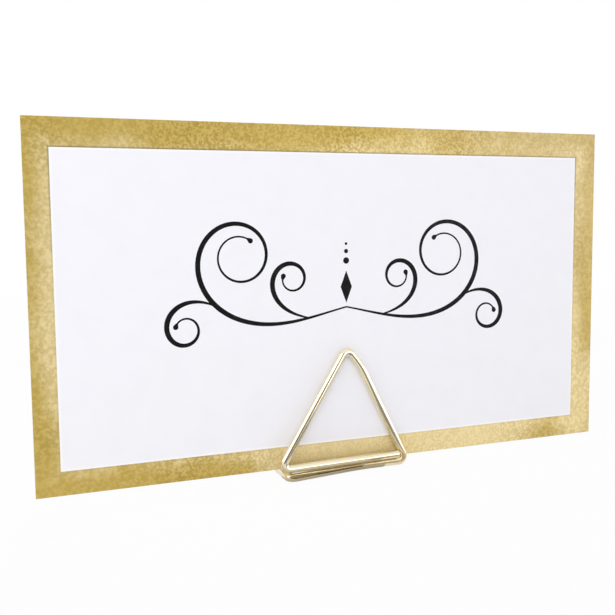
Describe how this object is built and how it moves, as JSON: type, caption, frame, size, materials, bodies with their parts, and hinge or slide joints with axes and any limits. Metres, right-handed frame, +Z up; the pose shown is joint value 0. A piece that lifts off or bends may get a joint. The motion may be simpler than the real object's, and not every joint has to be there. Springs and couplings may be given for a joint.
{
  "type": "place card holder",
  "caption": "Bent gold-coloured wire holder with a front and a rear triangle, gripping an upright card with a gold foil border and an inked flourish; the card lifts out.",
  "frame": {"origin": "on the table, in the middle plane of the card and half way along it", "axes": "+X along the card to the right as seen from its printed side, +Y from the printed front to the back, +Z up"},
  "size_m": [0.09, 0.0068, 0.0512],
  "materials": {
    "wire": "polished, gold-coloured round wire",
    "card_stock": "smooth white card stock",
    "foil": "finely grained, mottled gold-coloured foil",
    "ink": "matte black ink"
  },
  "bodies": {
    "holder": {"wire_holder": "wire"},
    "card": {"card": "card_stock", "foil_border": "foil", "ink_flourish": "ink"}
  },
  "joints": [
    {"name": "card_slide", "type": "slide", "parent": "holder", "child": "card", "axis": [0, 0, 1], "range_m": [0, 0.055]}
  ]
}
